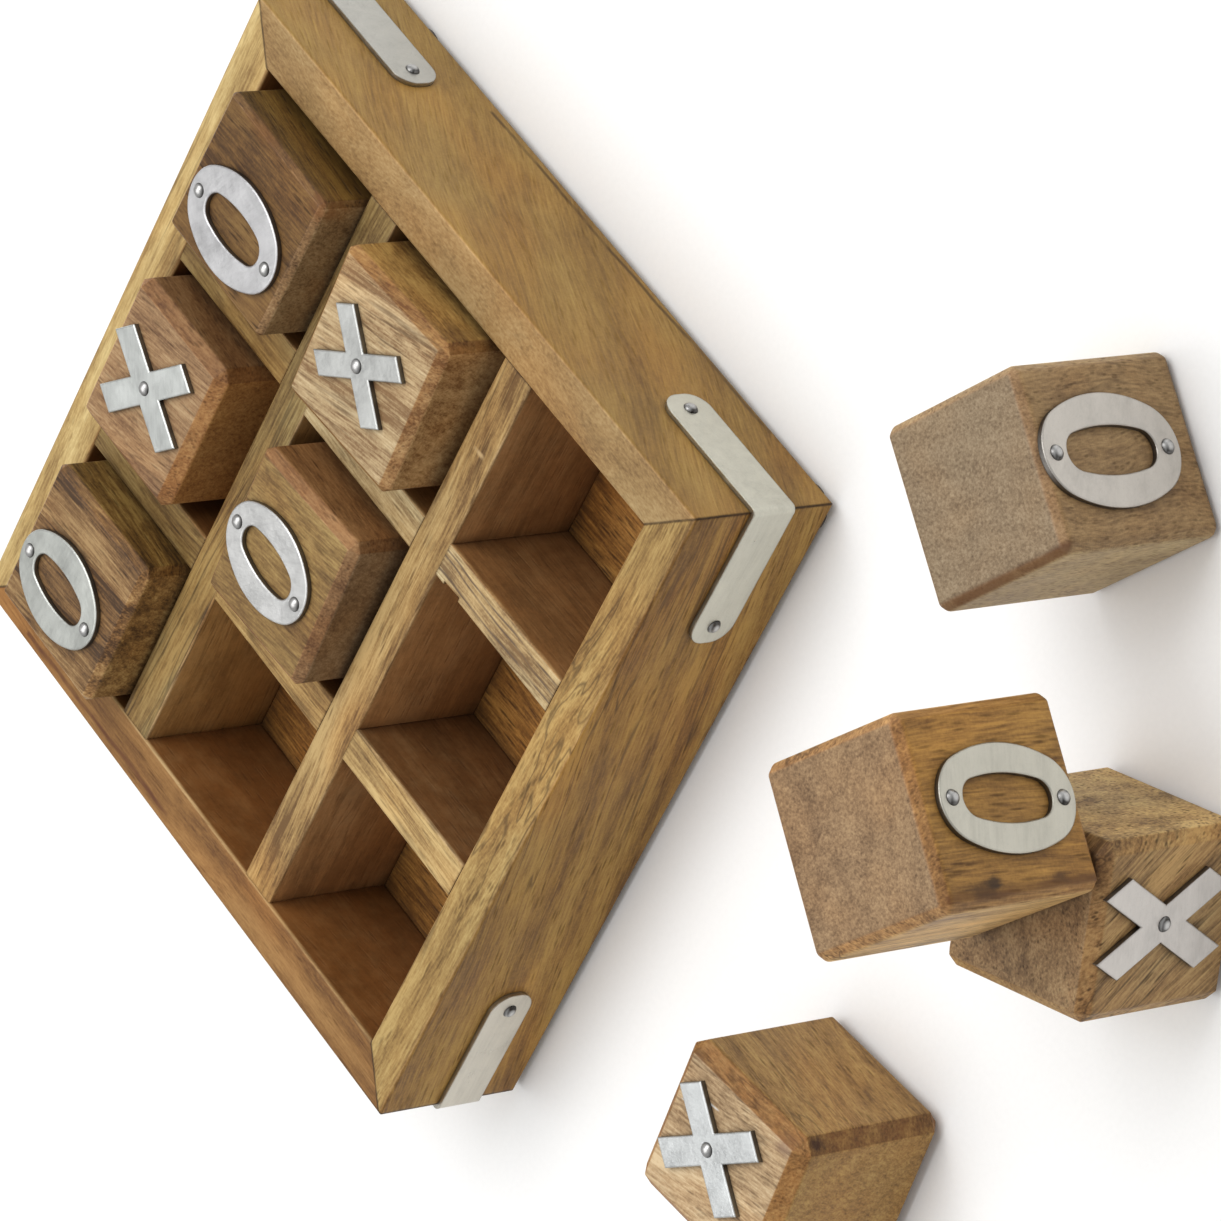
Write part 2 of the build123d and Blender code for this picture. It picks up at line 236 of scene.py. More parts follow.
def wood(name, centre, grain, seed, light, mid, dark, streak=0.5, fine=0.6, pores=1.0, figure=0.3,
         blotch=0.4, rings=0.3, ring_gap=0.006, crevice_shade=0.55, rough=0.56, edge=0.35, edge_light=False,
         tints=(), inside=None, lines=(), spots=(), wide_shade=None, mitre=False, roll=0.0, open_pores=0.0,
         lines_strength=0.8, faces=None, hue=0.8, short=1.0, band=None, dents=0.12):
    """Oiled hardwood cut from one solid. Every layer is a solid texture with its
    grain along one direction, so the faces of a piece agree at their edges."""
    rnd = random.Random(seed)
    g = Graph(name)
    co = g.coords()
    off = Vector((rnd.uniform(-1, 1), rnd.uniform(-1, 1), rnd.uniform(-1, 1))) * 0.7
    p = g.place(co, loc=centre, rot=turn(grain, roll), scale=(short, 1.0, 1.0))
    nrm_o = g.node("ShaderNodeTexCoord").outputs["Normal"]
    # 1 on faces that run with the grain, 0 on end grain
    across = g.math("ABSOLUTE", g.vmath("DOT_PRODUCT", nrm_o, tuple(Vector(grain).normalized())))
    along = g.ramp(across, [(0.72, 1.0), (0.93, 0.0)])
    # slow bending of the grain
    slow = g.vmath("ADD", g.vmath("MULTIPLY", p, (14.0, 34.0, 34.0)), tuple(off * 9))
    w = g.node("ShaderNodeTexNoise", noise_dimensions="3D")
    g.put(w.inputs["Vector"], slow)
    w.inputs["Scale"].default_value = 1.0
    w.inputs["Detail"].default_value = 1.5
    bend = g.vmath("MULTIPLY", g.vmath("SUBTRACT", w.outputs["Color"], (0.5, 0.5, 0.5)), (0.0, 0.0075, 0.0075))
    q = g.vmath("ADD", g.vmath("ADD", p, bend), tuple(off))
    # growth rings round a pith outside the piece, as soft bands
    pith = Vector((0.0, rnd.uniform(0.025, 0.05) * rnd.choice((-1, 1)), rnd.uniform(0.02, 0.045)))
    flat = g.vmath("MULTIPLY", g.vmath("SUBTRACT", q, tuple(off + pith)), (0.05, 1.0, 1.0))
    wob = g.noise(g.vmath("MULTIPLY", q, (12.0, 70.0, 70.0)), 1.0, 3.0, 0.5)
    ring = g.math("ADD", g.math("MULTIPLY", g.vmath("LENGTH", flat), 1.0 / ring_gap), g.math("MULTIPLY", wob, 1.1))
    ring = g.math("SINE", g.math("MULTIPLY", ring, 6.2832))
    # streaks along the grain: broad, narrow, hair-fine
    s1 = g.noise(g.vmath("MULTIPLY", q, (13.0, 170.0, 170.0)), 1.0, 3.0, 0.55)
    s2 = g.noise(g.vmath("MULTIPLY", q, (34.0, 620.0, 620.0)), 1.0, 3.0, 0.6)
    s3 = g.noise(g.vmath("MULTIPLY", q, (150.0, 2100.0, 2100.0)), 1.0, 2.0, 0.6)
    grit = g.noise(q, 1500.0, 2.0, 0.7)
    bl = g.noise(g.vmath("MULTIPLY", q, (55.0, 80.0, 80.0)), 1.0, 3.0, 0.55)
    bl2 = g.noise(g.vmath("MULTIPLY", q, (17.0, 30.0, 30.0)), 1.0, 2.0, 0.5)
    t = g.math("MULTIPLY_ADD", g.math("SUBTRACT", s1, 0.5), 1.5 * streak, 0.5)
    t = g.math("MULTIPLY_ADD", g.math("SUBTRACT", s2, 0.5), 1.1 * streak, t)
    t = g.math("MULTIPLY_ADD", g.math("SUBTRACT", s3, 0.5), 1.1 * fine, t)
    t = g.math("MULTIPLY_ADD", g.math("SUBTRACT", grit, 0.5), 0.45 * fine, t)
    t = g.math("MULTIPLY_ADD", g.math("SUBTRACT", bl, 0.5), 1.3 * blotch, t)
    t = g.math("MULTIPLY_ADD", g.math("SUBTRACT", bl2, 0.5), 1.3 * blotch, t)
    t = g.math("MULTIPLY_ADD", ring, 0.13 * rings, t)
    # end grain is duller, greyer in cut and covered in fine saw scratches
    t = g.math("MULTIPLY_ADD", g.math("SUBTRACT", t, 0.5), g.math("MULTIPLY_ADD", along, 0.36, 0.64), 0.5)
    sawn = g.place(co, loc=centre, rot=(0.5, 0.9, 0.7 + 0.3 * rnd.random()))
    saw = g.noise(g.vmath("MULTIPLY", sawn, (120.0, 1500.0, 1500.0)), 1.0, 3.0, 0.65)
    saw = g.math("MULTIPLY", g.math("SUBTRACT", saw, 0.5), g.math("SUBTRACT", 1.0, along))
    t = g.math("MULTIPLY_ADD", saw, 1.1, t)
    col = g.ramp(t, [(0.10, dark), (0.50, mid), (0.90, light)])
    # warmer and greyer patches
    patch = g.noise(g.vmath("MULTIPLY", q, (26.0, 60.0, 60.0)), 1.0, 2.0, 0.5)
    warm = g.ramp(patch, [(0.34, (0.96, 1.0, 1.03)), (0.50, (1.0, 1.0, 1.0)), (0.66, (1.07, 0.97, 0.84))])
    col = g.mix(hue, col, warm, "MULTIPLY")
    # dark figure lines, here and there
    ln = g.noise(g.vmath("MULTIPLY", q, (9.0, 250.0, 250.0)), 1.0, 2.0, 0.5, 0.2)
    ln = g.ramp(g.math("ABSOLUTE", g.math("SUBTRACT", ln, 0.5)), [(0.0, 1.0), (0.010, 0.7), (0.028, 0.0)])
    gate = g.ramp(g.noise(g.vmath("MULTIPLY", q, (20.0, 60.0, 60.0)), 1.0, 2.0, 0.5), [(0.47, 0.0), (0.60, 1.0)])
    gate = g.math("MULTIPLY", gate, along)
    col = g.mix(g.math("MULTIPLY", g.math("MULTIPLY", ln, gate), 0.7 * figure), col, tuple(c * 0.42 for c in dark))
    # pores: short dark dashes along the grain, dots on the end grain
    keep = g.noise(g.vmath("MULTIPLY", q, (90.0, 330.0, 330.0)), 1.0, 2.0, 0.6)
    v = g.voronoi(g.vmath("MULTIPLY", q, (150.0, 1150.0, 1150.0)), 1.0)
    pore = g.math("MULTIPLY", g.ramp(v, [(0.16, 1.0), (0.36, 0.0)]), g.ramp(keep, [(0.36, 0.15), (0.58, 1.0)]))
    v2 = g.voronoi(g.vmath("MULTIPLY", g.vmath("ADD", q, (0.31, 0.17, 0.23)), (95.0, 640.0, 640.0)), 1.0)
    pore2 = g.math("MULTIPLY", g.ramp(v2, [(0.09, 1.0), (0.24, 0.0)]), g.ramp(keep, [(0.42, 0.0), (0.60, 1.0)]))
    pore = g.math("MULTIPLY", g.math("MAXIMUM", pore, pore2), g.math("MULTIPLY_ADD", along, 0.55, 0.45))
    col = g.mix(g.math("MULTIPLY", pore, min(1.0, 0.50 * pores)), col, tuple(c * 0.45 for c in dark))
    # single marks of this piece: lines in a plane, and small knots or scars
    for (n, d, width, ends, tint) in lines:
        wig = g.math("MULTIPLY", g.math("SUBTRACT", g.noise(g.vmath("MULTIPLY", co, (60.0, 60.0, 60.0)), 1.0, 2.0, 0.5), 0.5), 0.0022)
        dd = g.math("ADD", g.math("SUBTRACT", g.vmath("DOT_PRODUCT", co, n), d), wig)
        m = g.ramp(g.math("DIVIDE", g.math("ABSOLUTE", dd), width), [(0.35, 1.0), (1.0, 0.0)])
        m = g.math("MULTIPLY", m, g.ramp(g.noise(co, 140.0, 2.0, 0.6), [(0.30, 0.35), (0.55, 1.0)]))
        if ends:
            axis, lo, hi = ends
            u = g.vmath("DOT_PRODUCT", co, axis)
            r1 = g.math("MULTIPLY", g.math("SUBTRACT", u, lo), 1300.0, clamp=True)
            r2 = g.math("MULTIPLY", g.math("SUBTRACT", hi, u), 1300.0, clamp=True)
            m = g.math("MULTIPLY", m, g.math("MULTIPLY", r1, r2))
        col = g.mix(g.math("MULTIPLY", m, lines_strength), col, tint)
    for (at, radii, tint, strength) in spots:
        rel = g.vmath("DIVIDE", g.vmath("SUBTRACT", co, at), radii)
        wv = g.math("MULTIPLY", g.math("SUBTRACT", g.noise(co, 420.0, 3.0, 0.6), 0.5), 1.1)
        wv = g.math("MULTIPLY_ADD", g.math("SUBTRACT", s2, 0.5), 1.6, wv)
        m = g.ramp(g.math("ADD", g.vmath("LENGTH", rel), wv), [(0.30, 1.0), (1.05, 0.0)])
        col = g.mix(g.math("MULTIPLY", m, strength), col, tint)
    # faces of different cut, and painted light and shade: the chamfers and each face get their own factor
    if band:
        # painted shade: the chamfers are darkened, mottled and scraped, the upright ones more than those that tilt up
        turned, upright_shade, level_shade, strength = band
        ax = g.math("ABSOLUTE", g.vmath("DOT_PRODUCT", nrm_o, face(turned)))
        ay = g.math("ABSOLUTE", g.vmath("DOT_PRODUCT", nrm_o, face(turned + 90)))
        az = g.math("ABSOLUTE", g.vmath("DOT_PRODUCT", nrm_o, (0.0, 0.0, 1.0)))
        m = g.ramp(g.math("MAXIMUM", g.math("MAXIMUM", ax, ay), az), [(0.74, 1.0), (0.93, 0.0)])
        mottle = g.noise(co, 330.0, 3.0, 0.65)
        scrape = g.noise(g.vmath("MULTIPLY", co, (900.0, 900.0, 900.0)), 1.0, 2.0, 0.6)
        m = g.math("MULTIPLY", m, g.ramp(mottle, [(0.30, 0.45), (0.62, 1.0)]))
        m = g.math("MULTIPLY", m, g.ramp(scrape, [(0.30, 0.75), (0.60, 1.0)]))
        tint = g.mix(g.ramp(az, [(0.25, 0.0), (0.45, 1.0)]), upright_shade, level_shade)
        col = g.mix(g.math("MULTIPLY", m, strength), col, g.mix(1.0, col, tint, "MULTIPLY"))
    for (d, tint, lo, hi) in tints:
        m = g.ramp(g.vmath("DOT_PRODUCT", nrm_o, tuple(Vector(d).normalized())), [(lo, 0.0), (hi, 1.0)])
        col = g.mix(m, col, g.mix(1.0, col, tint, "MULTIPLY"))
    node = name.replace("_wood", "")
    for f, (d, lo, hi) in (faces or {}).items():
        dot = g.vmath("DOT_PRODUCT", nrm_o, tuple(d))
        if f in ("lx", "ly"):
            dot = g.math("ABSOLUTE", dot)
        m = g.ramp(dot, [(lo, 0.0), (hi, 1.0)])
        col = g.mix(m, col, g.mix(1.0, col, face_tone_and_shade(node, f), "MULTIPLY"))
    if inside:
        # the insides of the cells, below the top and within the rails: plainer wood, with painted shade that darkens
        # them and grows darker the deeper they go
        tint, half, top = inside
        tint = face_tone_and_shade(node, "in", tint)
        sep = g.node("ShaderNodeSeparateXYZ")
        g.put(sep.inputs[0], g.vmath("SUBTRACT", co, (TX, TY, 0)))
        ax = g.math("MAXIMUM", g.math("ABSOLUTE", sep.outputs[0]), g.math("ABSOLUTE", sep.outputs[1]))
        m = g.math("LESS_THAN", ax, half)
        below = g.math("MULTIPLY", g.math("SUBTRACT", top, sep.outputs[2]), 1600.0, clamp=True)
        ragged = g.ramp(g.noise(co, 260.0, 2.0, 0.6), [(0.25, 0.82), (0.6, 1.0)])
        m = g.math("MULTIPLY", g.math("MULTIPLY", m, below), ragged)
        deep_shade = g.math("MULTIPLY", g.math("SUBTRACT", top, sep.outputs[2]), 26.0, clamp=True)
        coarse = g.math("MULTIPLY_ADD", g.math("SUBTRACT", g.noise(co, 650.0, 3.0, 0.7), 0.5), 0.9, g.noise(co, 120.0, 2.0, 0.5))
        plain = g.ramp(coarse, [(0.25, tuple(c * 0.74 for c in mid)), (0.5, mid), (0.75, tuple(c * 1.22 for c in mid))])
        col = g.mix(g.math("MULTIPLY", m, 0.62), col, plain)
        col = g.mix(m, col, g.mix(1.0, col, tint, "MULTIPLY"))
        col = g.mix(g.math("MULTIPLY", g.math("MULTIPLY", m, deep_shade), 0.35), col, DARK_JOINT_AND_SHADE)
    if mitre:
        sep = g.node("ShaderNodeSeparateXYZ")
        g.put(sep.inputs[0], g.vmath("SUBTRACT", co, (TX, TY, 0)))
        dd = g.math("SUBTRACT", g.math("ABSOLUTE", sep.outputs[0]), g.math("ABSOLUTE", sep.outputs[1]))
        m = g.ramp(g.math("MULTIPLY", g.math("ABSOLUTE", dd), 1000.0), [(0.16, 1.0), (0.45, 0.0)])
        m = g.math("MULTIPLY", m, g.ramp(g.noise(co, 300.0, 2.0, 0.6), [(0.3, 0.45), (0.6, 1.0)]))
        col = g.mix(g.math("MULTIPLY", m, 0.75), col, DARK_JOINT_AND_SHADE)
    # rubbed edges, and painted shade: darker in the corners and crevices and round the plates
    e, soft = g.worn_edge(0.0009)
    en = g.noise(g.vmath("MULTIPLY", q, (130.0, 300.0, 300.0)), 1.0, 3.0, 0.6)
    em = g.math("MULTIPLY", g.ramp(e, [(0.0, 0.0), (0.08, 1.0)]), g.ramp(en, [(0.35, 0.1), (0.62, 1.0)]))
    col = g.mix(g.math("MULTIPLY", em, edge), col, g.mix(1.0, col, (1.25, 1.22, 1.15) if edge_light else (0.55, 0.48, 0.42), "MULTIPLY"))
    ao = g.crevice(0.0045)
    shade_mask = g.math("MULTIPLY", g.ramp(ao, [(0.30, 1.0), (0.85, 0.0)]), g.ramp(en, [(0.25, 0.5), (0.65, 1.0)]))
    col = g.mix(g.math("MULTIPLY", shade_mask, crevice_shade), col, DARK_JOINT_AND_SHADE)
    if wide_shade:
        # painted shade: darker where the wide occlusion is deep
        wide = g.crevice(wide_shade[0], 10)
        col = g.mix(g.ramp(wide, [(wide_shade[1], 1.0), (wide_shade[2], 0.0)]), col, g.mix(1.0, col, wide_shade[3], "MULTIPLY"))
    g.put(g.bsdf.inputs["Base Color"], col)
    r = g.math("MULTIPLY_ADD", g.math("SUBTRACT", bl, 0.5), 0.22, rough)
    r = g.math("MULTIPLY_ADD", pore, 0.16, r)
    r = g.math("MULTIPLY_ADD", g.math("SUBTRACT", s3, 0.5), 0.15, r, clamp=True)
    g.put(g.bsdf.inputs["Roughness"], r)
    g.bsdf.inputs["Specular IOR Level"].default_value = 0.28
    h = g.math("MULTIPLY_ADD", pore, -0.8 - open_pores, g.math("MULTIPLY", s3, 0.5))
    h = g.math("MULTIPLY_ADD", s2, 0.25, h)
    h = g.math("MULTIPLY_ADD", grit, 0.25, h)
    nrm = g.bump(h, 0.35, 0.00012, soft)
    dent = g.noise(q, 75.0, 2.0, 0.5)
    nrm = g.bump(dent, dents, 0.0008, nrm)
    g.put(g.bsdf.inputs["Normal"], nrm)
    return g.mat


# ---------------------------------------------------------------------- metal
def metal(name, centre, rot, seed, tint=(0.66, 0.655, 0.645), rough=0.38, scratch=0.5, rim=0.55,
          wall=None, head_shade=None):
    """Hand-cut aluminium sheet, brushed with wire wool: fine lines one way, random scratches."""
    rnd = random.Random(seed)
    # the piece's factor from CAL: the metal's own tone together with painted shade and reflection, darker on the plates
    # on upright faces
    tint = tuple(c * k for c, k in zip(tint, face_tone_and_shade(name.replace("_metal", ""), "all")))
    g = Graph(name)
    p = g.place(g.coords(), loc=centre, rot=rot)
    off = (rnd.random(), rnd.random(), rnd.random())
    q = g.vmath("ADD", p, off)
    brush = g.noise(g.vmath("MULTIPLY", q, (60.0, 2600.0, 2600.0)), 1.0, 3.0, 0.6)
    cloud = g.noise(g.vmath("MULTIPLY", q, (140.0, 140.0, 140.0)), 1.0, 4.0, 0.6)
    smear = g.noise(g.vmath("MULTIPLY", q, (60.0, 330.0, 330.0)), 1.0, 3.0, 0.6, 0.6)
    a = rnd.uniform(0.4, 1.1)
    turned = g.place(q, rot=(a, a * 0.7, a * 1.3))
    sc = g.noise(g.vmath("MULTIPLY", turned, (35.0, 1500.0, 1500.0)), 1.0, 2.0, 0.5)
    sc = g.ramp(g.math("ABSOLUTE", g.math("SUBTRACT", sc, 0.5)), [(0.0, 1.0), (0.012, 0.0)])
    e, soft = g.worn_edge(0.00035)
    em = g.ramp(e, [(0.0, 0.0), (0.12, 1.0)])
    t = g.math("MULTIPLY_ADD", g.math("SUBTRACT", cloud, 0.5), 0.9, 0.5)
    t = g.math("MULTIPLY_ADD", g.math("SUBTRACT", smear, 0.5), 0.8, t)
    t = g.math("MULTIPLY_ADD", g.math("SUBTRACT", brush, 0.5), 0.5, t)
    col = g.ramp(t, [(0.1, tuple(c * 0.80 for c in tint)), (0.5, tint), (0.9, tuple(min(1.0, c * 1.13) for c in tint))])
    col = g.mix(g.math("MULTIPLY", sc, 0.35 * scratch), col, tuple(c * 0.6 for c in tint))
    # painted shade: a thin dark line along the sheet's edges
    col = g.mix(g.math("MULTIPLY", em, 0.30), col, tuple(c * 0.55 for c in tint))
    nrm_o = g.node("ShaderNodeTexCoord").outputs["Normal"]
    if wall:
        # painted shade: the sheared side walls of the sheet are made near black
        flat = g.math("ABSOLUTE", g.vmath("DOT_PRODUCT", nrm_o, wall))
        m = g.ramp(flat, [(0.30, 1.0), (0.62, 0.0)])
        m = g.math("MULTIPLY", m, g.ramp(cloud, [(0.3, 0.7), (0.6, 1.0)]))
        col = g.mix(g.math("MULTIPLY", m, 0.80), col, (0.05, 0.046, 0.042))
    if head_shade:
        # painted shade on the nail heads: a dark ring round the foot of the dome, and a dark crescent on the side
        # turned from the light
        if head_shade == "corner":
            sep = g.node("ShaderNodeSeparateXYZ")
            g.put(sep.inputs[0], g.vmath("SUBTRACT", g.coords(), (TX, TY, 0)))
            nx = g.math("ABSOLUTE", g.vmath("DOT_PRODUCT", nrm_o, (1.0, 0.0, 0.0)))
            ny = g.math("ABSOLUTE", g.vmath("DOT_PRODUCT", nrm_o, (0.0, 1.0, 0.0)))
            on_x = g.math("GREATER_THAN", g.math("ABSOLUTE", sep.outputs[0]), g.math("ABSOLUTE", sep.outputs[1]))
            up = g.math("ADD", g.math("MULTIPLY", nx, on_x), g.math("MULTIPLY", ny, g.math("SUBTRACT", 1.0, on_x)))
        else:
            up = g.math("ABSOLUTE", g.vmath("DOT_PRODUCT", nrm_o, head_shade))
        ring = g.ramp(up, [(0.50, 1.0), (0.74, 0.0)])
        away_from_light = g.vmath("DOT_PRODUCT", nrm_o, tuple(Vector((0.25, -0.80, -0.55)).normalized()))
        crescent_shade = g.math("MULTIPLY", g.ramp(away_from_light, [(0.12, 0.0), (0.42, 1.0)]), g.ramp(up, [(0.80, 1.0), (0.97, 0.0)]))
        m = g.math("MAXIMUM", g.math("MULTIPLY", ring, 0.75), g.math("MULTIPLY", crescent_shade, 0.95))
        m = g.math("MULTIPLY", m, g.ramp(g.noise(g.coords(), 900.0, 2.0, 0.6), [(0.25, 0.65), (0.6, 1.0)]))
        col = g.mix(m, col, (0.028, 0.025, 0.023))
    # painted shade: near black in the creases round the piece, such as the foot of the nail heads
    ao = g.ramp(g.crevice(0.0016), [(0.3, 1.0), (0.85 if rim < 0.9 else 0.97, 0.0)])
    col = g.mix(g.math("MULTIPLY", ao, rim), col, (0.03, 0.027, 0.025))
    g.put(g.bsdf.inputs["Base Color"], col)
    g.bsdf.inputs["Metallic"].default_value = 1.0
    r = g.math("MULTIPLY_ADD", g.math("SUBTRACT", cloud, 0.5), 0.35, rough)
    r = g.math("MULTIPLY_ADD", sc, 0.15 * scratch, r)
    r = g.math("MULTIPLY_ADD", g.math("SUBTRACT", brush, 0.5), 0.2, r, clamp=True)
    g.put(g.bsdf.inputs["Roughness"], r)
    h = g.math("MULTIPLY_ADD", brush, 0.35, g.math("MULTIPLY", sc, -0.5 * scratch))
    nrm = g.bump(h, 0.35, 0.00008, soft)
    nrm = g.bump(cloud, 0.30, 0.0006, nrm)
    g.put(g.bsdf.inputs["Normal"], nrm)
    return g.mat


def felt(name):
    g = Graph(name)
    co = g.coords()
    n1 = g.noise(co, 2600.0, 4.0, 0.7)
    n2 = g.noise(co, 380.0, 3.0, 0.6)
    t = g.math("MULTIPLY_ADD", g.math("SUBTRACT", n2, 0.5), 0.7, n1)
    g.put(g.bsdf.inputs["Base Color"], g.ramp(t, [(0.25, (0.020, 0.016, 0.013)), (0.75, (0.075, 0.060, 0.048))]))
    g.put(g.bsdf.inputs["Roughness"], g.ramp(n1, [(0.2, 0.82), (0.8, 0.98)]))
    g.bsdf.inputs["Sheen Weight"].default_value = 0.3
    g.put(g.bsdf.inputs["Normal"], g.bump(n1, 0.8, 0.0003))
    return g.mat


def give(node, mat):
    o = nodes[node]
    if not o.data.materials:
        o.data.materials.append(mat)
    for i in range(len(o.material_slots)):
        o.material_slots[i].material = mat


def mid_of(node):
    lo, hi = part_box(node)
    return (lo + hi) / 2


def tone(light, mid, dark):
    return dict(light=lin(*light), mid=lin(*mid), dark=lin(*dark))


TAN = tone((190, 154, 104), (160, 122, 76), (116, 80, 44))
TOP = tone((200, 166, 116), (170, 134, 86), (124, 90, 52))
PALE = tone((206, 174, 126), (174, 140, 94), (120, 88, 54))
INNER = tone((146, 104, 62), (116, 78, 44), (80, 50, 27))
# painted shade for the insides of the cells
IN_SHADE = (0.42, 0.36, 0.33)
cell_shade = (IN_SHADE, 0.06505, 0.0352)
FLOOR_C = mid_of("floor_panel")

UP = ((0, 0, 1), 0.80, 0.96)


def out(x, y):
    return ((x, y, 0), 0.55, 0.90)


# tray
RAIL = dict(inside=cell_shade, mitre=True, streak=0.35, fine=0.75, pores=0.55, blotch=0.40, figure=0.45, rings=0.6, ring_gap=0.011, crevice_shade=0.5, edge=0.35)
give("rail_front", wood("rail_front_wood", mid_of("rail_front"), (1, 0, 0.14), 11, **TOP, **dict(RAIL, streak=0.36, rings=1.3, ring_gap=0.006, figure=1.0, fine=1.1, pores=1.0, blotch=0.35), faces={"top": UP, "out": out(0, -1)}))
give("rail_right", wood("rail_right_wood", mid_of("rail_right"), (0, 1, -0.42), 12, **TOP, **dict(RAIL, streak=0.28, pores=0.35, figure=0.25, blotch=0.3), faces={"top": UP, "out": out(1, 0)},
                        lines=[((0, -0.018, 1), -0.00125 + 0.0035, 0.0006, ((0, 1, 0), 0.004, 0.098), tuple(c * 0.5 for c in TOP["dark"]))]))
give("rail_back", wood("rail_back_wood", mid_of("rail_back"), (1, 0, -0.09), 13, **TOP, **dict(RAIL, streak=0.55, rings=1.5, ring_gap=0.009, figure=0.7), faces={"top": UP, "out": out(0, 1)}))
give("rail_left", wood("rail_left_wood", mid_of("rail_left"), (0, 1, 0.08), 14, **TOP, **dict(RAIL, streak=0.5, rings=1.4, figure=0.6, blotch=0.5), faces={"top": UP, "out": out(-1, 0)},
                       lines=[((1, 0.004, 0), TX - 0.0722, 0.0007, ((0, 1, 0), TY + 0.005, TY + 0.060), (0.16, 0.06, 0.03))]))
give("floor_panel", wood("floor_panel_wood", FLOOR_C, (0, 1, 0), 15, **INNER, streak=0.4, fine=1.4, pores=1.6, figure=0.3, blotch=0.6, crevice_shade=0.85, faces={"top": UP}))
DIV = dict(inside=(IN_SHADE, 0.08, 0.0350), crevice_shade=0.65, fine=1.1, edge=0.45, rings=0.6, hue=1.0, faces={"top": UP})
give("long_divider_front", wood("long_divider_front_wood", mid_of("long_divider_front"), (1, 0.05, 0), 16, **PALE, **DIV, streak=1.0, figure=1.0, blotch=0.95,
                                spots=[((TX + 0.046, TY - 0.0235, 0.0353), (0.0008, 0.0020, 0.002), (0.62, 0.44, 0.26), 0.9)]))
give("long_divider_back", wood("long_divider_back_wood", mid_of("long_divider_back"), (1, -0.03, 0), 17, **PALE, **DIV, streak=0.9, figure=0.9, blotch=0.95))
for i, n in enumerate(sorted(x for x in nodes if x.startswith("short_divider_"))):
    t = PALE if "front" in n else TOP
    dark_lines = [((1.0, 0.012 * k, 0.0), TX + x / 1000 + 0.012 * k * (TY - 0.045), 0.00032, None, (0.10, 0.055, 0.03))
                  for k, x in ((1, 21.4), (-1, 23.9), (1, 25.6))] if n == "short_divider_front_right" else []
    give(n, wood(n + "_wood", mid_of(n), (0.03 * (i % 3 - 1), 1, 0), 20 + i, **t, **DIV, streak=0.95, figure=1.2 if "front" in n else 0.8, blotch=0.75, lines=dark_lines))


def on(n, turned, u, v, w):
    """Point at (u, v, w) mm from a block's middle, in the block's own directions."""
    m = mid_of(n)
    a, b = face(turned), face(turned + 90)
    return (m.x + (a[0] * u + b[0] * v) / 1000, m.y + (a[1] * u + b[1] * v) / 1000, m.z + w / 1000)


def plane(direction, at):
    """(normal, distance) of the plane through a point."""
    d = Vector(direction).normalized()
    return (d[:], d.dot(Vector(at)))


def blk(n, turned, grain, seed, t, soft=False, **kw):
    """turned: the block's turn about Z, in degrees."""
    lo, hi = (0.50, 0.92) if soft else (0.50, 0.85)
    # the chamfers get painted shade, darker on the upright ones
    base = dict(streak=0.5, fine=1.1, figure=0.5, blotch=0.5, rings=0.5, edge=0.40, crevice_shade=0.5, hue=0.6,
                band=(turned, (0.74, 0.62, 0.52), (0.86, 0.76, 0.66), 0.9),
                faces={"top": UP, "lx": (face(turned), lo, hi), "ly": (face(turned + 90), lo, hi)})
    base.update(kw)
    give(n, wood(n + "_wood", mid_of(n), grain, seed, **t, **base))


Z = (0.0, 0.0, 1.0)
blk("block_o_centre", 3, (0.15, -1.0, 0.08), 31, tone((192, 152, 108), (160, 120, 80), (116, 80, 50)), streak=0.35)
blk("block_x_right", 3, (0.24, -1.0, 0.03), 32, tone((208, 176, 130), (178, 144, 100), (128, 92, 56)), streak=0.75, figure=0.9,
    band=(3, (0.60, 0.46, 0.36), (0.80, 0.66, 0.54), 1.0),
    spots=[(on("block_x_right", 3, 17.3, -13.0, 14.0), (0.004, 0.004, 0.006), (0.10, 0.05, 0.026), 0.45)])
blk("block_o_back_right", -1.4, (0.05, -1.0, 0.05), 33, tone((178, 144, 104), (146, 112, 76), (98, 70, 44)), blotch=0.75, pores=1.4, hue=1.0,
    spots=[(on("block_o_back_right", -1.4, 15.5, 5.0, 19.0), (0.0025, 0.007, 0.0025), (0.30, 0.13, 0.035), 0.45),
           (on("block_o_back_right", -1.4, 15.0, -15.8, 17.0), (0.0035, 0.0035, 0.005), (0.26, 0.10, 0.03), 0.5)])
blk("block_x_back", 0, (0.18, -1.0, 0.06), 34, tone((196, 156, 110), (166, 124, 82), (118, 80, 50)), streak=0.35)
blk("block_o_back_left", 0, (0.10, -1.0, 0.04), 35, tone((198, 164, 120), (150, 114, 76), (86, 62, 42)), streak=1.1, figure=0.9, blotch=0.6)
XT = 7.6
scratch_1 = plane((1.0, 0.30, 0.0), on("block_x_table", XT, 8.0, 9.0, 18.0))
scratch_2 = plane((1.0, 0.34, 0.0), on("block_x_table", XT, 4.5, 12.0, 18.0))
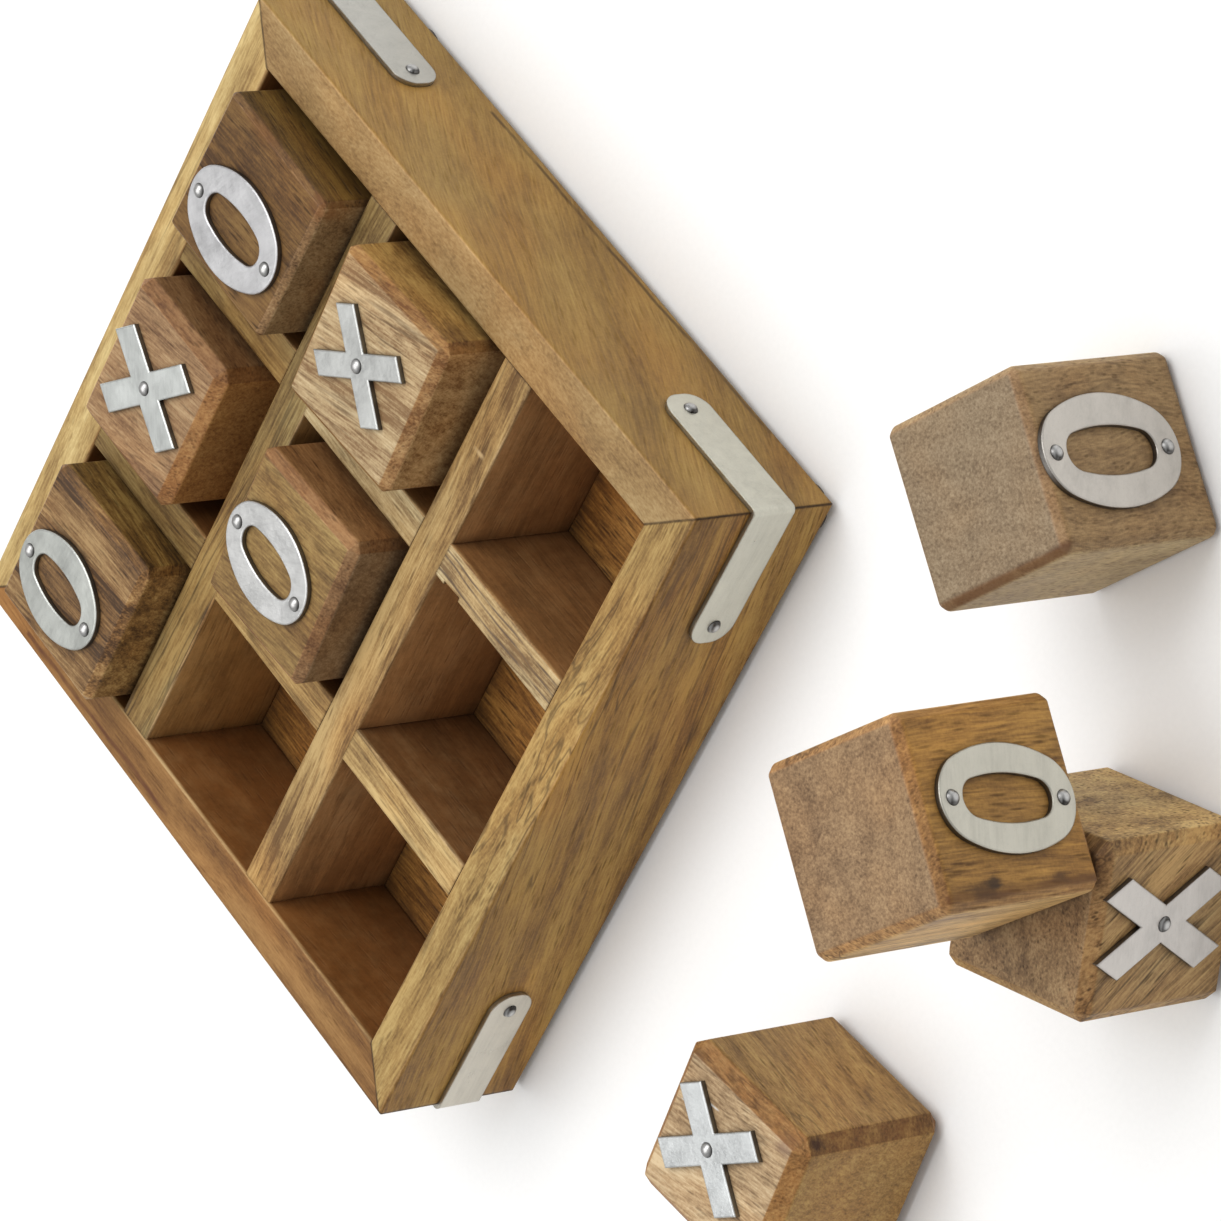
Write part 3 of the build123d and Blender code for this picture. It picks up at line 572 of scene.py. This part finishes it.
blk("block_x_table", XT, (0.25, -1.0, 0.10), 36, tone((196, 156, 108), (166, 124, 80), (118, 82, 48)), streak=0.5, figure=0.7, blotch=0.3, dents=0.06,
    band=(XT, (0.50, 0.37, 0.30), (0.88, 0.74, 0.62), 1.0),
    spots=[(on("block_x_table", XT, 15.3, -15.9, 13.2), (0.0019, 0.0019, 0.0026), (0.07, 0.022, 0.010), 0.9),
           (on("block_x_table", XT, 14.0, -12.5, 17.6), (0.0030, 0.0034, 0.0020), (0.19, 0.085, 0.045), 0.5),
           (on("block_x_table", XT, -9.0, -11.0, 17.9), (0.0012, 0.0020, 0.0020), (0.14, 0.07, 0.035), 0.6)],
    lines=[(*scratch_1, 0.00028, ((0, 1, 0), on("block_x_table", XT, 0, 5, 0)[1], on("block_x_table", XT, 0, 12, 0)[1]), (0.55, 0.45, 0.34)),
           (*scratch_2, 0.00022, ((0, 1, 0), on("block_x_table", XT, 0, 8, 0)[1], on("block_x_table", XT, 0, 14, 0)[1]), (0.55, 0.45, 0.34))])
blk("block_x_lower", -64.8, (0.905, 0.426, -1.274), 37, tone((184, 150, 106), (150, 116, 78), (98, 70, 44)), pores=1.5, streak=0.7, figure=1.0, blotch=0.3)
OU = -31.5
low_edge = plane(face(OU + 90), on("block_o_upper", OU, 0, -15.2, 0))
blk("block_o_upper", OU, (0.05, 0.03, 1.0), 38, tone((196, 152, 104), (160, 120, 80), (112, 78, 48)), soft=True, streak=0.6, pores=1.2, figure=1.0, blotch=0.45,
    hue=0.4, band=(OU, (0.76, 0.66, 0.58), (0.82, 0.72, 0.64), 0.8),
    spots=[(on("block_o_upper", OU, 17.3, -14.6, 9.0), (0.0022, 0.0022, 0.0045), (0.07, 0.03, 0.013), 0.75),
           (on("block_o_upper", OU, 17.3, -13.2, 6.5), (0.0016, 0.0016, 0.0020), (0.04, 0.02, 0.012), 0.8),
           (on("block_o_upper", OU, 17.3, -14.0, -9.0), (0.0018, 0.0018, 0.0026), (0.08, 0.035, 0.016), 0.7)],
    lines=[(*low_edge, 0.0011, (face(OU), Vector(face(OU)).dot(Vector(on("block_o_upper", OU, 16.2, 0, 0))), 9.0), (0.15, 0.065, 0.028))])
OT = -30
level_edge = plane(face(OT + 90), on("block_o_table", OT, 0, -16.0, 0))
top_z = on("block_o_table", OT, 0, 0, 17.0)[2]
blk("block_o_table", OT, (0.04, 0.02, 1.0), 39, tone((182, 154, 122), (154, 126, 96), (112, 86, 62)), soft=True, streak=0.25, pores=1.0, blotch=0.25,
    hue=0.35, short=3.0, band=(OT, (0.80, 0.70, 0.60), (0.84, 0.74, 0.64), 0.8),
    lines=[(*level_edge, 0.0013, (Z, top_z, 1.0), (0.13, 0.06, 0.03))])

# metal
SIDEWAYS = {"o_table": OT, "o_upper": OU, "x_lower": -64.8}     # blocks whose plate is on an upright face


def faced(n):
    """Direction the plate or nail on a block points."""
    at = n.split("_", 1)[1]
    return face(SIDEWAYS[at]) if at in SIDEWAYS else Z


for i, n in enumerate(sorted(x for x in nodes if x.startswith("plate_"))):
    give(n, metal(n + "_metal", mid_of(n), (0.1 * i, 0.2, 0.5 * i), 50 + i, wall=faced(n)))
for i, n in enumerate(sorted(x for x in nodes if x.startswith("corner_strap_"))):
    give(n, metal(n + "_metal", mid_of(n), (0, 0, 0.0), 70 + i, rough=0.34))
for i, n in enumerate(sorted(x for x in nodes if x.startswith("pins_") or x == "strap_pins")):
    give(n, metal(n + "_metal", mid_of(n), (0.3, 0.2, 0.5 * i), 90 + i, tint=(0.47, 0.465, 0.455), rough=0.34, rim=0.95,
                  head_shade="corner" if n == "strap_pins" else faced(n)))
give("felt_feet", felt("felt"))


# ---------------------------------------------------------------- room: floor
def floor_material():
    g = Graph("paper_floor")
    co = g.coords()
    n = g.noise(co, 900.0, 3.0, 0.6)
    m = g.noise(co, 6.0, 2.0, 0.5)
    t = g.math("MULTIPLY_ADD", g.math("SUBTRACT", m, 0.5), 0.4, n)
    g.put(g.bsdf.inputs["Base Color"], g.ramp(t, [(0.2, (0.90, 0.90, 0.895)), (0.8, (0.93, 0.93, 0.925))]))
    g.put(g.bsdf.inputs["Roughness"], g.ramp(n, [(0.2, 0.85), (0.8, 0.95)]))
    g.bsdf.inputs["Specular IOR Level"].default_value = 0.1
    return g.mat


mesh = bpy.data.meshes.new("floor")
S = 3.0
steps = 12
verts = [(-S + 2 * S * i / steps, -S + 2 * S * j / steps, 0.0) for j in range(steps + 1) for i in range(steps + 1)]
faces = [(j * (steps + 1) + i, j * (steps + 1) + i + 1, (j + 1) * (steps + 1) + i + 1, (j + 1) * (steps + 1) + i)
         for j in range(steps) for i in range(steps)]
mesh.from_pydata(verts, [], faces)
floor = bpy.data.objects.new("floor", mesh)
scene.collection.objects.link(floor)
mesh.materials.append(floor_material())

# ----------------------------------------------------------------- lights
world = bpy.data.worlds.new("studio")
scene.world = world
world.use_nodes = True
bg = world.node_tree.nodes["Background"]
bg.inputs[0].default_value = (1.0, 1.0, 1.0, 1)
bg.inputs[1].default_value = 0.55


def area(name, at, look, size, power, color=(1, 1, 1)):
    data = bpy.data.lights.new(name, "AREA")
    data.shape = "RECTANGLE"
    data.size = size[0]
    data.size_y = size[1]
    data.energy = power
    data.color = color
    o = bpy.data.objects.new(name, data)
    scene.collection.objects.link(o)
    o.location = at
    d = Vector(look) - Vector(at)
    o.rotation_euler = d.to_track_quat("-Z", "Y").to_euler()
    return o


area("key", (0.9, 0.5, 1.6), (0, 0, 0), (1.4, 1.4), 20)
area("top", (-0.5, 0.2, 1.9), (0, 0, 0), (1.6, 1.6), 16)

# ----------------------------------------------------------------- camera
cam_data = bpy.data.cameras.new("camera")
cam = bpy.data.objects.new("camera", cam_data)
scene.collection.objects.link(cam)
cam_data.sensor_fit = "HORIZONTAL"
cam_data.sensor_width = 36.0
cam_data.lens = 201.92
cam_data.clip_start = 0.05
cam_data.clip_end = 20.0
right = Vector((0.391915, -0.541391, -0.743840)).normalized()
ahead = Vector((-0.544089, 0.515579, -0.661926)).normalized()
up = right.cross(ahead).normalized()
right = ahead.cross(up).normalized()
rot = Matrix((right, up, -ahead)).transposed()
cam.matrix_world = Matrix.Translation((0.679796, -0.641862, 0.849466)) @ rot.to_4x4()
scene.camera = cam
